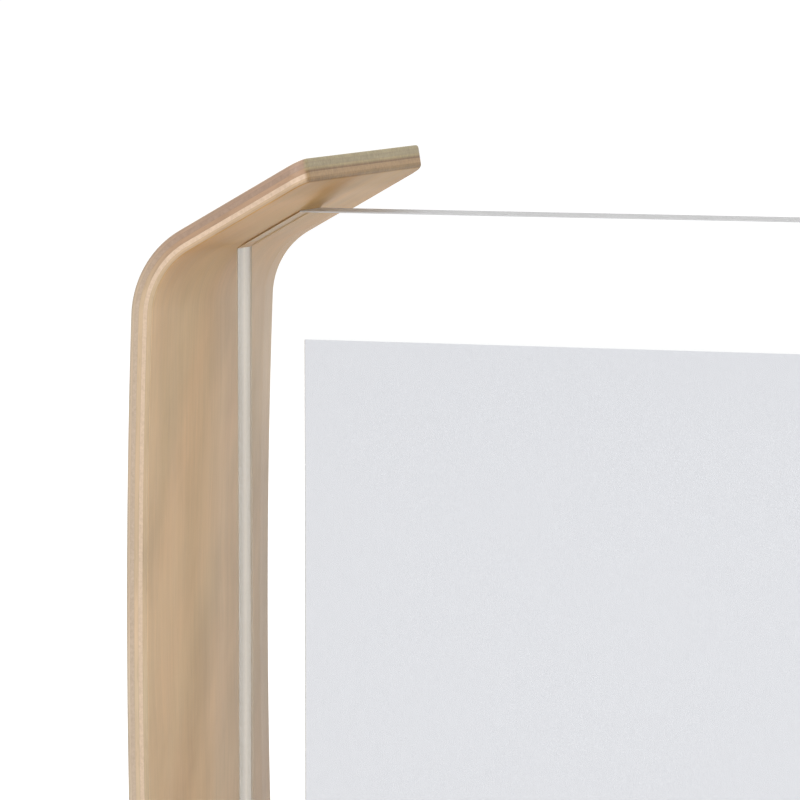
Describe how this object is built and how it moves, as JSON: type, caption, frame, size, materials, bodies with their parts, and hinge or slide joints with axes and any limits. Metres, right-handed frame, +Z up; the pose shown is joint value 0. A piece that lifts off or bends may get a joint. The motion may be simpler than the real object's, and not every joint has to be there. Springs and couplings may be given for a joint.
{
  "type": "digital photo frame",
  "caption": "Digital photo frame: thick clear panel with a let-in display, standing in a deep bent plywood band whose ends fold in over the panel corners.",
  "frame": {"origin": "on the table surface, at the middle of the bounding box of the band", "axes": "+X to the right as the viewer sees the screen, +Y from the screen towards the back, +Z up"},
  "size_m": [0.285, 0.0944, 0.2381],
  "materials": {
    "birch_plywood": "bent birch plywood, clear satin lacquer, edges showing the veneers",
    "clear_acrylic": "clear cast acrylic, polished faces and finely sanded edges",
    "screen": "display cell, even pale grey, semi-gloss",
    "white_film": "white optical film",
    "white_plastic": "fine matt moulded white plastic",
    "aluminium": "fine blasted, clear anodised",
    "steel": "bright zinc-plated or stamped steel",
    "dark_rubber": "matt dark rubber",
    "clear_rubber": "milky clear silicone",
    "circuit_board": "green solder mask",
    "flex_film": "amber flexible circuit",
    "black_plastic": "matt black moulded plastic"
  },
  "bodies": {
    "frame": {"antenna": "circuit_board", "antenna_lead": "black_plastic", "base_rail": "aluminium", "base_screw_1": "steel", "base_screw_2": "steel", "base_screw_3": "steel", "board_screw_1": "steel", "board_screw_2": "steel", "board_screw_3": "steel", "board_screw_4": "steel", "button_board": "circuit_board", "button_board_screw_1": "steel", "button_board_screw_2": "steel", "button_lead": "black_plastic", "card_socket": "steel", "clear_panel": "clear_acrylic", "clock_cell": "steel", "cover_screw_1": "steel", "cover_screw_2": "steel", "cover_screw_3": "steel", "cover_screw_4": "steel", "dc_inlet": "black_plastic", "diffuser_sheet": "white_film", "display_flex": "flex_film", "display_tray": "white_plastic", "driver_board": "circuit_board", "foot_back_left": "dark_rubber", "foot_back_right": "dark_rubber", "foot_front_left": "dark_rubber", "foot_front_right": "dark_rubber", "heat_sink": "aluminium", "lcd_glass": "screen", "led_bar": "white_film", "light_guide": "clear_acrylic", "main_board": "circuit_board", "plywood_band": "birch_plywood", "pocket_seal": "white_plastic", "processor": "black_plastic", "rail_liner": "clear_rubber", "rear_cover": "white_plastic", "reflector_sheet": "white_film", "speaker_lead_left": "black_plastic", "speaker_lead_right": "black_plastic", "speaker_left": "black_plastic", "speaker_right": "black_plastic", "switch_back": "black_plastic", "switch_menu": "black_plastic", "switch_next": "black_plastic", "switch_power": "black_plastic", "switch_previous": "black_plastic", "usb_socket": "steel", "wifi_module": "steel"},
    "button_power": {"button_power": "white_plastic"},
    "button_menu": {"button_menu": "white_plastic"},
    "button_previous": {"button_previous": "white_plastic"},
    "button_next": {"button_next": "white_plastic"},
    "button_back": {"button_back": "white_plastic"}
  },
  "joints": [
    {"name": "power_press", "type": "slide", "parent": "frame", "child": "button_power", "axis": [0, -1, 0], "range_m": [0, 0.0006], "stiffness_N_per_m": 250},
    {"name": "menu_press", "type": "slide", "parent": "frame", "child": "button_menu", "axis": [0, -1, 0], "range_m": [0, 0.0006], "stiffness_N_per_m": 250},
    {"name": "previous_press", "type": "slide", "parent": "frame", "child": "button_previous", "axis": [0, -1, 0], "range_m": [0, 0.0006], "stiffness_N_per_m": 250},
    {"name": "next_press", "type": "slide", "parent": "frame", "child": "button_next", "axis": [0, -1, 0], "range_m": [0, 0.0006], "stiffness_N_per_m": 250},
    {"name": "back_press", "type": "slide", "parent": "frame", "child": "button_back", "axis": [0, -1, 0], "range_m": [0, 0.0006], "stiffness_N_per_m": 250}
  ]
}
